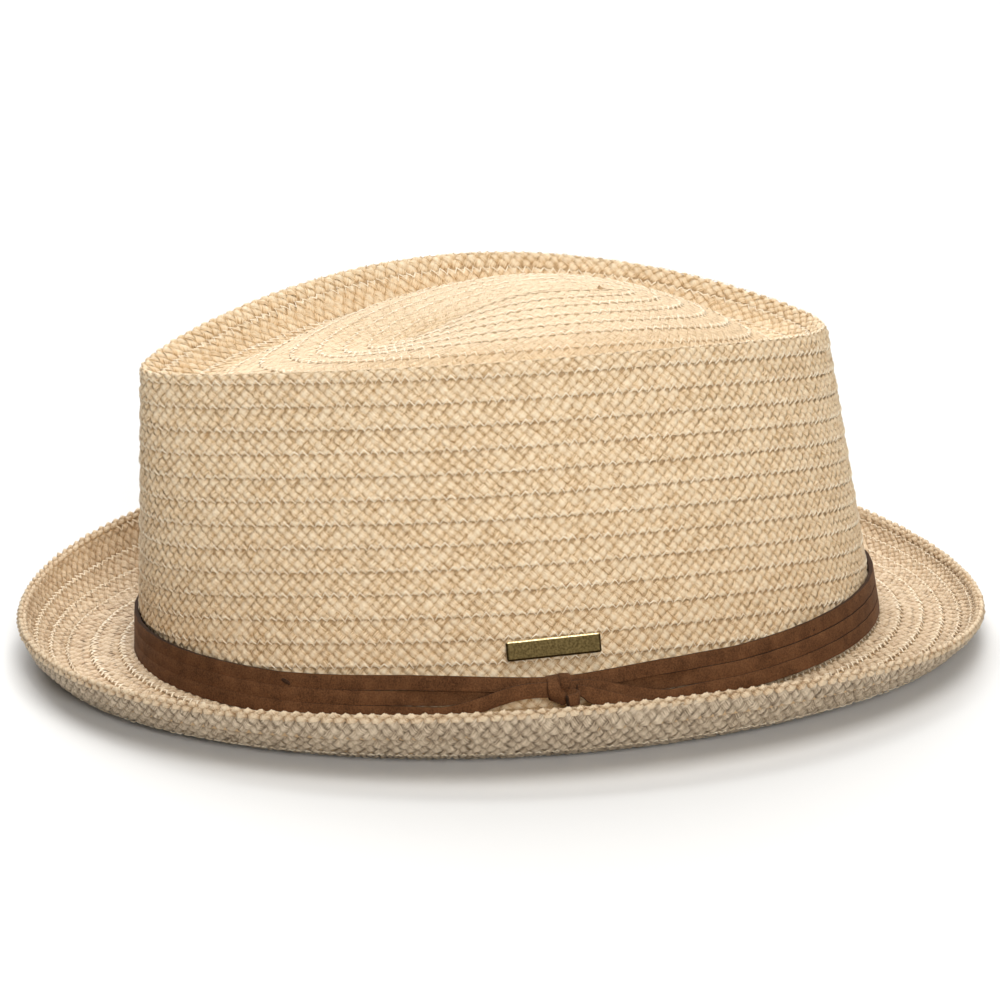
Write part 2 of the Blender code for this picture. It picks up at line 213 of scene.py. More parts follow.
# Braid of the crown. Plaited from flat straws that cross at 45 degrees, over one and under one;
# each turn of the spiral overlaps the one below it, and its lower edge is a folded lip.
CELL = 0.0034
STRAND = 0.00235
FLOAT_LENGTH = 1.32
FLOAT_BREADTH = 1.02
FLOAT_PLAY = (0.09, 0.06, 0.08, 0.2)
TRACKS = (0.155, 0.405, 0.655, 0.905)
FLOAT_RISE = 0.00034
FLOAT_DIP = 0.00042
FLOAT_ROLL = 0.00020
CROWN_LAP = ((7.5, 9.5), (0.00004, 0.00025))
CROWN_RELIEF = ((7.5, 9.5), (0.30, 1.0))
UNEVEN = 0.45
UNEVEN_TURNS = np.linspace(-20, 180, 500)
OUTSIDE = -0.00025
INSIDE = 0.0014
LIP_START = 0.86
LIP_SPREAD = 0.30
PRESSED_ROWS = 2.0
PRESSED_SLOPE = 3
PRESSED_DEPTH = 0.0010
SEAM_WIDTH = 0.065
SEAM_SHADOW = 0.35
TIP_START = -0.12
TURNED_ROWS = 2
FOOT_SPARE = 0.1
FIBRE_SHAPE = (1.3, 1.0)
FIBRE_SPREAD = 40
FIBRE_STRETCH = (1.0, 9.0, 1.0)
SHADE_WEIGHT = 0.24
LINES_WEIGHT = 1.9
PAINTED_SHADE_WEIGHT = 0.50
STRAW_DARKENING = -0.74


def grid_pattern(along, across):
    """Unit patch of the given cells as points and faces, to be laid many times."""
    patch = bmesh.new()
    bmesh.ops.create_grid(patch, x_segments=along, y_segments=across, size=0.5)
    points = np.array([vertex.co[:2] for vertex in patch.verts])
    faces = np.array([[vertex.index for vertex in face.verts] for face in patch.faces])
    patch.free()
    return points, faces


def cells(surface, first, last, spiral=1, pitch=CELL):
    """Turn of the spiral at every cell of the braid, and how fast it turns for each metre."""
    turn = np.arange((first - 1) * ANGLE_STEPS, last * ANGLE_STEPS + 1) * math.tau / ANGLE_STEPS
    middle = laid(surface, turn, turn / math.tau * spiral + 0.5, np.zeros(len(turn)))
    run = np.concatenate([[0], np.cumsum(np.linalg.norm(np.diff(middle, axis=0), axis=1))])
    centre = np.arange(0, run[-1], pitch)
    pace = np.interp(centre + CELL, run, turn) - np.interp(centre - CELL, run, turn)
    return np.interp(centre, run, turn), pace / (2 * CELL)


def laid_mesh(name, pattern, points, values, finish):
    """One mesh of a pattern laid many times, with a value of its own for each laying."""
    local, faces = pattern
    count = len(points)
    corner = (faces[None] + len(local) * np.arange(count)[:, None, None]).reshape(-1, 4)
    mesh = bpy.data.meshes.new(name)
    mesh.from_pydata(points.reshape(-1, 3), [], corner)
    mesh.shade_smooth()
    for label, value in values.items():
        stored = mesh.attributes.new(label, "FLOAT", "POINT")
        stored.data.foreach_set("value", np.broadcast_to(value, points.shape[:2]).ravel())
    fibre = mesh.uv_layers.new(name="straw")
    flat = (local * FIBRE_SHAPE + chance.random((count, 1, 2)) * FIBRE_SPREAD).reshape(-1, 2)
    fibre.data.foreach_set("uv", flat[corner.ravel()].ravel())
    mesh.materials.append(finish)
    piece = bpy.data.objects.new(name, mesh)
    bpy.context.scene.collection.objects.link(piece)
    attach(piece, "root")
    return piece


def plaited(name, surface, first, last, pattern, finish, side=1, base=OUTSIDE, below=None,
            tracks=TRACKS, spiral=1, pressed=0.0, lap=CROWN_LAP, relief=CROWN_RELIEF, scale=1.0,
            slants=(-1, 1)):
    """Joined mesh of all the straw crossings between two rows of a sheet of the surface.

    side is 1 on the outside, where each turn laps over the next one, and -1 on the inside, where
    it laps over the turn before; lap and relief hold some rows, how high their lips stand and how
    strongly their straws bow. below is a limit for the row at each angle, and the straw is pressed
    flatter over the last rows above it. slants are the ways that the tracks lean, in turn.
    """
    local = pattern[0]
    starts, paces = cells(surface, first, last, spiral, CELL * scale)
    turn = np.concatenate([starts + CELL * scale / 2 * (index % 2) * paces
                           for index in range(len(tracks))])
    pace = np.tile(paces, len(tracks))
    track = np.repeat(tracks, len(starts))
    way = np.repeat([slants[index % 2] for index in range(len(tracks))], len(starts))
    level = turn / math.tau * spiral + track
    keep = (level > first) & (level < last) & (turn > starts[0] + 0.001)
    spare = math.inf if below is None else np.interp(np.mod(turn, math.tau), angles, below) - level
    keep &= spare > 0
    press = pressed * np.clip((PRESSED_ROWS - spare) * PRESSED_SLOPE, 0, 1)
    press = np.broadcast_to(press, turn.shape)
    turn, pace, track, way, level, press = (
        part[keep, None] for part in (turn, pace, track, way, level, press))
    wobble = chance.normal(0, 1, (4, len(turn), 1)) * np.reshape(FLOAT_PLAY, (4, 1, 1))
    u = local[:, 0] * STRAND * scale * (FLOAT_LENGTH + wobble[0])
    w = local[:, 1] * STRAND * scale * (FLOAT_BREADTH + wobble[1])
    turned = math.pi / 4 * way * (1 + wobble[2])
    along = u * np.cos(turned) - w * np.sin(turned)
    across = u * np.sin(turned) + w * np.cos(turned)
    share = track + across / ROW if side > 0 else 1 - track - across / ROW
    over = np.maximum(share - LIP_START, 0) / (1 - LIP_START)
    share = np.minimum(share, LIP_START) + (1 - LIP_START) * (1 - np.exp(-over))
    lip = np.clip(over * (1 - LIP_START) / LIP_SPREAD, 0, 1)
    crest = np.cos(math.pi * local[:, 0]) ** 2
    edge = (2 * local[:, 1]) ** 2
    bowed = crest * (1 - 0.45 * edge)
    pull = np.interp(turn, UNEVEN_TURNS,
                     chance.uniform(1 - UNEVEN, 1 + UNEVEN, len(UNEVEN_TURNS)))
    strong = np.interp(level, *relief)
    bow = strong * (FLOAT_RISE * bowed * (1 + wobble[3])
                    - FLOAT_DIP * (1 - crest) * (1 - 0.8 * lip) - FLOAT_ROLL * edge)
    height = base + np.interp(level, *lap) * pull * share + bow - press
    row = level - track + (share if side > 0 else 1 - share)
    spot = laid(surface, turn + along * pace * side, row, height * side)
    # Painted shadow: the seam value darkens the straw just below each lip, where the turn above
    # casts its shadow.
    seam_shadow = (SEAM_SHADOW * np.exp(-(np.maximum(share, 0) / SEAM_WIDTH) ** 2)
            * np.interp(level, *lap) / lap[1][1])
    # Painted shade: the "crest" value is darker where each crossing dips under its neighbours and
    # along its edges, and lighter at its crest.
    values = {"shade": 0.5 + (chance.random((len(turn), 1)) - 0.5) * strong,
              "crest": 0.45 + (bowed * (1 - seam_shadow) - 0.5 * seam_shadow - 0.25 * edge ** 3 - 0.38) * strong}
    piece = laid_mesh(name, pattern, spot, values, finish)
    return piece


def weighed(tree, source, weight, rest):
    """A value times its weight, plus the rest, which is a number or another value."""
    total = tree.nodes.new("ShaderNodeMath")
    total.operation = "MULTIPLY_ADD"
    total.inputs[1].default_value = weight
    tree.links.new(source, total.inputs[0])
    if isinstance(rest, float):
        total.inputs[2].default_value = rest
    else:
        tree.links.new(rest, total.inputs[2])
    return total.outputs["Value"]


def coloured(tree, source, *stops):
    """Base colour read off a value by (place, colour) stops, the darkest first."""
    ramp = tree.nodes.new("ShaderNodeValToRGB")
    ends = ramp.color_ramp.elements
    for end, (place, colour) in zip(ends, (stops[0], stops[-1])):
        end.position = place
        end.color = (*colour, 1)
    for place, colour in stops[1:-1]:
        ends.new(place).color = (*colour, 1)
    tree.links.new(source, ramp.inputs["Fac"])
    tree.links.new(ramp.outputs["Color"], tree.nodes["Principled BSDF"].inputs["Base Color"])


def grained(tree, source, strength, depth):
    """Fine relief of a surface from a value."""
    bump = tree.nodes.new("ShaderNodeBump")
    bump.inputs["Strength"].default_value = strength
    bump.inputs["Distance"].default_value = depth
    tree.links.new(source, bump.inputs["Height"])
    tree.links.new(bump.outputs["Normal"], tree.nodes["Principled BSDF"].inputs["Normal"])


def straw_finish(name, dark, middle, pale):
    """Flat dried straw: fine lines along each strand, its own shade, and painted shade where it
    dips.
    """
    finish = bpy.data.materials.new(name)
    finish.use_nodes = True
    tree = finish.node_tree
    shader = tree.nodes["Principled BSDF"]
    shader.inputs["Roughness"].default_value = 0.62
    shader.inputs["Specular IOR Level"].default_value = 0.35

    uv = tree.nodes.new("ShaderNodeUVMap")
    uv.uv_map = "straw"
    stretch = tree.nodes.new("ShaderNodeMapping")
    stretch.inputs["Scale"].default_value = FIBRE_STRETCH
    tree.links.new(uv.outputs["UV"], stretch.inputs["Vector"])
    lines = tree.nodes.new("ShaderNodeTexNoise")
    lines.inputs["Scale"].default_value = 1.0
    lines.inputs["Detail"].default_value = 3.0
    lines.inputs["Roughness"].default_value = 0.65
    tree.links.new(stretch.outputs["Vector"], lines.inputs["Vector"])

    own = tree.nodes.new("ShaderNodeAttribute")
    own.attribute_name = "shade"
    crest = tree.nodes.new("ShaderNodeAttribute")
    crest.attribute_name = "crest"
    # Painted shade: dips, edges and seams are darker through the "crest" value.
    painted_dip_shade = weighed(tree, crest.outputs["Fac"], PAINTED_SHADE_WEIGHT, STRAW_DARKENING)
    lined = weighed(tree, lines.outputs["Fac"], LINES_WEIGHT, painted_dip_shade)
    total = weighed(tree, own.outputs["Fac"], SHADE_WEIGHT, lined)
    coloured(tree, total, (0.18, dark), (0.5, middle), (0.92, pale))
    grained(tree, lines.outputs["Fac"], 1.0, 0.00055)
    return finish


crown_straw = straw_finish("crown_straw", (0.44, 0.26, 0.11), (0.81, 0.595, 0.36),
                           (0.95, 0.79, 0.565))
outside = grid_pattern(4, 3)
inside = grid_pattern(3, 2)
foot_row = TIP_ROWS + slant_length / ROW
lowest_row = TIP_ROWS + WALL_ROWS - FOOT_SPARE
turned_row = TIP_ROWS + TURNED_ROWS
tip_braid = plaited("tip_braid", crown_surface, TIP_START, turned_row, outside, crown_straw)
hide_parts("crown_tip")
wall_braid = plaited("wall_braid", crown_surface, turned_row, lowest_row, outside, crown_straw,
                     below=foot_row, pressed=PRESSED_DEPTH)
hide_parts("crown_wall")
plaited("inner_braid", crown_surface, 0, lowest_row, inside, crown_straw, side=-1, base=INSIDE,
        below=foot_row, pressed=-PRESSED_DEPTH)

# Backing of the crown. The overlapped halves of the braid, stiffened with size; it steps at each
# seam as the braid does and shows only in the openings between the crossings, where its dark
# straw colour is painted shade.
BACKING_STEPS = 180
BACKING_SHARES = (0.0, 0.5, 0.97)
BACKING_DEPTH = 0.00045
BACKING_THICKNESS = 0.0007
BACKING_SHORT = 0.05


def backing(name, surface, limit, base, side=1, lap=CROWN_LAP, relief=CROWN_RELIEF, pressed=0.0):
    """Closed thin wall under the crossings, from the first row to a limit at each angle."""
    count = len(BACKING_SHARES)
    turns = np.arange(-BACKING_STEPS, (int(limit.max()) + 1) * BACKING_STEPS + 1)
    turn, share = (part.ravel() for part in np.meshgrid(turns / BACKING_STEPS * math.tau,
                                                        BACKING_SHARES, indexing="ij"))
    row = turn / math.tau + share
    foot = np.interp(np.mod(turn, math.tau), angles, limit)
    held = np.clip(row, 0, foot)
    height = (base - BACKING_DEPTH * np.interp(row, *relief)
              - pressed * np.clip((PRESSED_ROWS - foot + row) * PRESSED_SLOPE, 0, 1)
              + np.interp(row, *lap) * (share if side > 0 else BACKING_SHARES[-1] - share))
    spot = laid(surface, turn, held, height * side)
    start = np.arange(len(turns) - 1)[:, None] * count
    within = start + np.arange(count - 1)
    strips = np.stack([within, within + 1, within + count + 1, within + count], -1).reshape(-1, 4)
    drop = start[:-BACKING_STEPS, 0] + count - 1
    under = drop + BACKING_STEPS * count - count + 1
    steps = np.stack([drop, under, under + count, drop + count], -1)
    wall = bmesh.new()
    corners = [wall.verts.new(point) for point in spot]
    for face in np.concatenate([strips, steps])[:, ::side]:
        if np.ptp(held[face]) > 1e-6:
            wall.faces.new([corners[index] for index in face])
    bmesh.ops.remove_doubles(wall, verts=wall.verts, dist=0.00001)
    bmesh.ops.delete(wall, geom=[corner for corner in wall.verts if not corner.link_faces],
                     context="VERTS")
    mesh = bpy.data.meshes.new(name)
    wall.to_mesh(mesh)
    wall.free()
    mesh.materials.append(shadow_straw)
    piece = bpy.data.objects.new(name, mesh)
    bpy.context.scene.collection.objects.link(piece)
    depth = piece.modifiers.new("depth", "SOLIDIFY")
    depth.thickness = BACKING_THICKNESS
    depth.offset = -1
    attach(piece, "root")
    return piece


# Painted shade: the backing is coloured like straw lying in shadow.
shadow_straw = bpy.data.materials.new("shadow_straw")
shadow_straw.use_nodes = True
shadow_tree = shadow_straw.node_tree
shadow_tree.nodes["Principled BSDF"].inputs["Roughness"].default_value = 0.85
shadow_place = shadow_tree.nodes.new("ShaderNodeTexCoord")
shadow_noise = shadow_tree.nodes.new("ShaderNodeTexNoise")
shadow_noise.inputs["Scale"].default_value = 900.0
shadow_tree.links.new(shadow_place.outputs["Object"], shadow_noise.inputs["Vector"])
coloured(shadow_tree, shadow_noise.outputs["Fac"], (0.0, (0.40, 0.26, 0.13)),
         (1.0, (0.60, 0.42, 0.24)))
backing("crown_backing", crown_surface, foot_row - BACKING_SHORT, OUTSIDE, pressed=PRESSED_DEPTH)

# Brim. The same braid goes on round and round from the head line, flat at first and then turned
# up towards the rim; both faces show, and its last turn is folded over the edge.
BRIM_REACH = np.array((0.0330, 0.0281, 0.0373))
BRIM_LEVEL = np.array((0.55, 0.50, 0.36))
BRIM_CURL = np.array((0.0111, 0.0180, 0.0068))
CURL_ANGLE = math.radians(75)
BRIM_FULLNESS = 0.10
CURL_STEPS = 8
BRIM_MIDDLE = 0.0015
BRIM_ROWS = 6
BRIM_BASE = 0.0008
BRIM_LAP = ((0, 1), (0.00035, 0.00035))
BRIM_RELIEF = ((0, 1), (0.9, 0.9))
BRIM_BACKING_SHORT = 0.02
RIM_RELIEF = ((0, 1), (1.4, 1.4))
RIM_RADIUS = 0.0010
RIM_BASE = -0.0002
RIM_ARC = 11
RIM_LAP = 5
RIM_TRACK = 0.27
RIM_SCALE = 0.98

brim_rings = [[HALF_LENGTH - STRAW_WALL] * 2 + [0, HALF_WIDTH - STRAW_WALL, 0, 0, 0, 0, 0]]
for level_share, bend in ([(0.5, 0), (1, 0)]
                          + [(1, step / CURL_STEPS) for step in range(1, CURL_STEPS + 1)]):
    bent = CURL_ANGLE * bend
    out_share = math.sin(bent) / math.sin(CURL_ANGLE)
    rise = (1 - math.cos(bent)) / (1 - math.cos(CURL_ANGLE))
    reach = BRIM_REACH * (BRIM_LEVEL * level_share + (1 - BRIM_LEVEL) * out_share)
    fullness = -BRIM_FULLNESS * reach[2] / BRIM_REACH[2]
    brim_rings.append([HALF_LENGTH + reach[0], HALF_LENGTH + reach[1], 0, HALF_WIDTH + reach[2],
                       0, fullness, *(BRIM_CURL * rise)])
brim_rings = np.array(brim_rings)
brim_place = evenly(brim_rings, BRIM_ROWS * ROW_STEPS + 1, (0, math.pi / 2, math.pi))
lower_face, lower_normals = with_normals(ring_points(brim_rings, *np.meshgrid(brim_place, angles)))
brim_surface = with_normals(lower_face + lower_normals * BRIM_MIDDLE)

# Painted shade: the brim's straw is the crown's straw painted darker, for the upper face that faces
# the overhead light, and darker and greyer still for the face under the brim.
brim_straw = straw_finish("brim_straw", (0.31, 0.18, 0.08), (0.62, 0.44, 0.27), (0.81, 0.65, 0.45))
shaded_under_straw = straw_finish("shaded_under_straw", (0.14, 0.095, 0.055), (0.43, 0.33, 0.225),
                           (0.72, 0.59, 0.43))
upper_braid = plaited("brim_upper_braid", brim_surface, 0, BRIM_ROWS, outside, brim_straw,
                      base=BRIM_BASE, lap=BRIM_LAP, relief=BRIM_RELIEF)
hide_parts("brim")
plaited("brim_lower_braid", brim_surface, 0, BRIM_ROWS, outside, shaded_under_straw, side=-1,
        base=BRIM_BASE, lap=BRIM_LAP, relief=BRIM_RELIEF)
for backing_name, brim_side in (("brim_upper_backing", 1), ("brim_lower_backing", -1)):
    backing(backing_name, brim_surface, np.full(len(angles), BRIM_ROWS - BRIM_BACKING_SHORT),
            BRIM_BASE, brim_side, BRIM_LAP, BRIM_RELIEF)

rim_line, rim_up = brim_surface[0][:, -1], brim_surface[1][:, -1]
rim_out = rim_line - brim_surface[0][:, -2]
rim_out /= np.linalg.norm(rim_out, axis=1, keepdims=True)
rim_step = ROW / ROW_STEPS
rim_columns = [rim_line + rim_up * RIM_RADIUS - rim_out * rim_step * step
               for step in range(RIM_LAP, 0, -1)]
for step in range(RIM_ARC + 1):
    wrap = math.pi * step / RIM_ARC
    rim_columns.append(rim_line + (rim_up * math.cos(wrap) + rim_out * math.sin(wrap)) * RIM_RADIUS)
rim_columns += [rim_line - rim_up * RIM_RADIUS - rim_out * rim_step * step
                for step in range(1, RIM_LAP + 1)]
rim_surface = with_normals(np.stack(rim_columns, 1))
rim_middle = (RIM_LAP + RIM_ARC / 2) / ROW_STEPS
plaited("rim_braid", rim_surface, 0, 1, outside, brim_straw, base=RIM_BASE,
        tracks=[rim_middle + RIM_TRACK * step for step in (-1, 0, 1)], spiral=0, lap=BRIM_LAP,
        relief=RIM_RELIEF, scale=RIM_SCALE, slants=(1, 1))

# Sewing thread. Cream cotton in a small flat zigzag that holds the lip of each turn down on the
# turn below it.
STITCH = 0.0024
THREAD_WIDTH = 0.00028
THREAD_REACH = 0.115
THREAD_TRACK = 0.925
THREAD_LIFT = 0.00024
THREAD_FLATNESS = 1.5
THREAD_SHORT = 0.2
STITCH_PLAY = (0.06, 0.06, 0.18, 0.00006)
STITCH_DIP = 0.0004


def sewn(name, surface, first, last, finish, side=1, base=OUTSIDE, below=None, lap=CROWN_LAP):
    """Zigzag stitches along every turn of the braid between two rows."""
    pattern = grid_pattern(4, 2)
    local = pattern[0]
    turn, pace = cells(surface, first, last, pitch=STITCH)
    level = turn / math.tau + THREAD_TRACK
    keep = (level > first) & (level < last)
    if below is not None:
        keep &= np.interp(np.mod(turn, math.tau), angles, below) > level
    turn, pace, level = (part[keep, None] for part in (turn, pace, level))
    wobble = chance.normal(0, 1, (4, len(turn), 1)) * np.reshape(STITCH_PLAY, (4, 1, 1))
    zigzag = 1 - 4 * np.abs(local[:, 0])
    ends = np.abs(local[:, 0]) > 0.49
    along = (local[:, 0] * (1 + wobble[0]) + wobble[1]) * STITCH
    across = (THREAD_REACH * (1 + wobble[2]) * -zigzag
              + local[:, 1] * THREAD_WIDTH / ROW * THREAD_FLATNESS)
    share = THREAD_TRACK + across
    height = (base + THREAD_LIFT + wobble[3] + np.interp(level, *lap) * (share - (share > 1))
              + THREAD_WIDTH * (0.5 - 2 * local[:, 1] ** 2) - STITCH_DIP * ends)
    row = level + across if side > 0 else level - THREAD_TRACK + 1 - share
    spot = laid(surface, turn + along * pace * side, row, height * side)
    piece = laid_mesh(name, pattern, spot, {"shade": chance.random((len(turn), 1))}, finish)
    return piece


cotton = bpy.data.materials.new("cream_cotton")
cotton.use_nodes = True
cotton_tree = cotton.node_tree
cotton_tree.nodes["Principled BSDF"].inputs["Roughness"].default_value = 0.7
cotton_own = cotton_tree.nodes.new("ShaderNodeAttribute")
cotton_own.attribute_name = "shade"
coloured(cotton_tree, cotton_own.outputs["Fac"], (0.0, (0.80, 0.65, 0.45)),
         (1.0, (0.94, 0.83, 0.65)))
sewn("crown_thread", crown_surface, 1, lowest_row, cotton, below=foot_row - PRESSED_ROWS)
sewn("brim_upper_thread", brim_surface, 0, BRIM_ROWS - THREAD_SHORT, cotton, base=BRIM_BASE,
     lap=BRIM_LAP)
sewn("brim_lower_thread", brim_surface, 0, BRIM_ROWS - THREAD_SHORT, cotton, side=-1,
     base=BRIM_BASE, lap=BRIM_LAP)

# Suede laces. Three flat laces lie round the crown, with a lace wrapped and folded over them at
# the knot; the nap is brushed this way and that. The cut edges and ends are darker, partly their
# own colour and partly painted shade in the grooves between the laces and along the band's edges.
# Two small stitches tack the laces to the straw, one on each side of the knot; they are dark,
# partly as stitches and partly as painted shade in their holes.
LACE_ROUNDING = 0.0005
LACE_MERGE = 0.00002
LACE_FLATNESS = math.radians(0.5)
LACE_CORNER = math.radians(40)
NAP_WEIGHT = 0.55
BRUSHED_WEIGHT = 0.45
LACE_NODES = ("lace_bottom", "lace_middle", "lace_top", "knot_wrap", "knot_fold", "tail_short",
              "tail_long")

suede = bpy.data.materials.new("brown_suede")
suede.use_nodes = True
suede_tree = suede.node_tree
suede_shader = suede_tree.nodes["Principled BSDF"]
suede_shader.inputs["Roughness"].default_value = 0.95
suede_shader.inputs["Specular IOR Level"].default_value = 0.15
suede_shader.inputs["Sheen Weight"].default_value = 0.08
suede_shader.inputs["Sheen Roughness"].default_value = 0.45
suede_shader.inputs["Sheen Tint"].default_value = (0.75, 0.55, 0.40, 1)
suede_place = suede_tree.nodes.new("ShaderNodeTexCoord")
nap = suede_tree.nodes.new("ShaderNodeTexNoise")
nap.inputs["Scale"].default_value = 2600.0
nap.inputs["Detail"].default_value = 4.0
brushed = suede_tree.nodes.new("ShaderNodeTexNoise")
brushed.inputs["Scale"].default_value = 160.0
brushed.inputs["Detail"].default_value = 5.0
brushed.inputs["Roughness"].default_value = 0.65
for texture in (nap, brushed):
    suede_tree.links.new(suede_place.outputs["Object"], texture.inputs["Vector"])
suede_mix = weighed(suede_tree, nap.outputs["Fac"], NAP_WEIGHT,
                    weighed(suede_tree, brushed.outputs["Fac"], BRUSHED_WEIGHT, 0.0))
coloured(suede_tree, suede_mix, (0.36, (0.056, 0.022, 0.008)), (0.66, (0.175, 0.078, 0.033)))
grained(suede_tree, suede_mix, 0.8, 0.00016)

# A darker copy of the suede for cut edges and ends, partly painted shade between the laces.
cut_and_shaded_suede = suede.copy()
cut_and_shaded_suede.name = "cut_and_shaded_suede"
cut_and_shaded_ramp = next(node for node in cut_and_shaded_suede.node_tree.nodes if node.type == "VALTORGB").color_ramp
cut_and_shaded_ramp.elements[0].color = (0.022, 0.010, 0.005, 1)
cut_and_shaded_ramp.elements[1].color = (0.055, 0.026, 0.013, 1)

KNOT_FORWARD = 0.0105
KNOT_ANGLE = math.acos(KNOT_FORWARD / HALF_LENGTH)
STRAP_SIDES = 14
STRAP_STEPS = 5
STRAP_SQUARENESS = 0.55
KNOT_STRAPS = {
    "knot_wrap": ((-0.3, 12.6, 3.2, 3.8, 1.0, 8), (-0.2, 12.2, 5.6, 4.0, 1.1, 12),
                  (-0.2, 11.1, 6.9, 4.3, 1.3, 10), (-0.3, 9.5, 7.3, 4.4, 1.4, -8),
                  (-0.1, 8.0, 7.1, 4.3, 1.3, -28), (0.4, 6.7, 6.1, 3.8, 1.1, -34),
                  (0.4, 6.2, 4.0, 3.4, 1.0, -30), (0.2, 6.6, 1.6, 3.4, 0.9, -10),
                  (0.0, 9.0, 0.95, 3.6, 0.9, 0), (-0.2, 12.1, 1.4, 3.7, 0.9, 0)),
    "knot_fold": ((2.3, 8.6, 1.0, 2.6, 1.1, 0), (2.3, 11.2, 1.3, 2.9, 1.2, 0),
                  (2.3, 12.7, 3.4, 3.1, 1.3, 0), (2.3, 12.7, 5.8, 3.2, 1.5, -8),
                  (2.1, 11.7, 7.4, 3.1, 1.6, -16), (1.75, 10.7, 7.9, 2.5, 1.5, -28),
                  (1.5, 9.9, 7.8, 1.5, 1.2, -35), (1.2, 9.4, 7.1, 0.8, 0.8, -40)),
    "tail_short": ((1.2, 8.6, 6.4, 2.4, 1.1, 90), (3.2, 8.3, 6.9, 3.0, 1.3, 84),
                   (4.4, 7.5, 7.6, 3.3, 1.4, 84), (4.3, 6.9, 8.8, 3.3, 1.5, 86),
                   (3.0, 6.7, 9.6, 3.2, 1.5, 90), (1.7, 6.6, 10.2, 3.1, 1.5, 90)),
}
LACE_SPREAD = 0.00014
SHADED_EDGE_SLOPE = 0.7
LACE_RISES = {
    "lace_top": ((-78, -40, -11, 0, 11, 30, 42, 55, 90, 123, 172, 240, 300),
                 (-0.3, 1.7, 1.8, 1.4, 1.8, 1.9, 1.7, 1.2, 1.5, 1.7, 1.5, 0.8, 0)),
    "lace_middle": ((-78, -40, -25, -11, 0, 11, 25, 42, 55, 90, 123, 172, 240, 300),
                    (-0.1, 1.5, 1.5, 1.0, 0.7, 1.0, 1.6, 1.6, 1.1, 1.3, 1.4, 1.3, 0.8, 0)),
    "lace_bottom": ((-78, -40, -32, -19, 0, 15, 25, 42, 55, 90, 123, 172, 240, 300),
                    (0, 1.4, 1.4, 0.6, 0, 0.5, 1.5, 1.6, 1.1, 1.2, 1.2, 1.1, 0.8, 0)),
}
TACK_SIZE = (0.0015, 0.0006, 0.0004)
TACK_STAND = 0.00145
TACKS = ((-73.8, 9.6, -20), (85.1, 11.0, 25))


def on_band(run, height, stand):
    """Places on the band, by distance behind the knot, height on the wall and stand off it."""
    angle = KNOT_ANGLE + run / HALF_LENGTH
    row = np.interp(angle, angles, foot_row) - height / ROW
    return laid(crown_surface, angle, row, stand)


def strap(rows, closed):
    """Mesh of a soft lace along rows of (run, height, stand, width, thickness, slant)."""
    rows = np.array(rows)
    count = len(rows)
    stretches = count if closed else count - 1
    along = np.arange(stretches * STRAP_STEPS + (not closed)) / STRAP_STEPS
    first = np.floor(along).astype(int)
    if not closed:
        first = np.minimum(first, count - 2)
    u = (along - first)[:, None]
    ends = [np.mod(first + k, count) if closed else np.clip(first + k, 0, count - 1)
            for k in (-1, 0, 1, 2)]
    line = smoothly(u, *(rows[index] for index in ends))
    centre = line[:, :3] / 1000
    if closed:
        run_on = np.roll(centre, -1, 0) - np.roll(centre, 1, 0)
    else:
        run_on = np.gradient(centre, axis=0)
    run_on /= np.linalg.norm(run_on, axis=1, keepdims=True)
    slant = np.radians(line[:, 5])
    flat = np.stack([np.cos(slant), np.sin(slant), 0 * slant], 1)
    flat -= run_on * (flat * run_on).sum(1, keepdims=True)
    flat /= np.linalg.norm(flat, axis=1, keepdims=True)
    outwards = np.cross(run_on, flat)
    side = np.arange(STRAP_SIDES) / STRAP_SIDES * math.tau
    wide, thick = (np.sign(part) * np.abs(part) ** STRAP_SQUARENESS
                   for part in (np.cos(side), np.sin(side)))
    ring = (centre[:, None] + flat[:, None] * (wide * line[:, 3:4] / 2000)[..., None]
            + outwards[:, None] * (thick * line[:, 4:5] / 2000)[..., None])
    placed = on_band(ring[..., 0], ring[..., 1], ring[..., 2])
    body = bmesh.new()
    rings = [[body.verts.new(point) for point in turn] for turn in placed]
    for here, there in zip(rings, rings[1:] + rings[:1] if closed else rings[1:]):
        for index in range(STRAP_SIDES):
            beside = (index + 1) % STRAP_SIDES
            body.faces.new((here[index], there[index], there[beside], here[beside]))
    if not closed:
        body.faces.new(rings[0])
        cut = body.faces.new(rings[-1][::-1])
        cut.material_index = 1
    bmesh.ops.recalc_face_normals(body, faces=body.faces)
    bmesh.ops.triangulate(body, faces=[face for face in body.faces if len(face.verts) > 4])
    return body


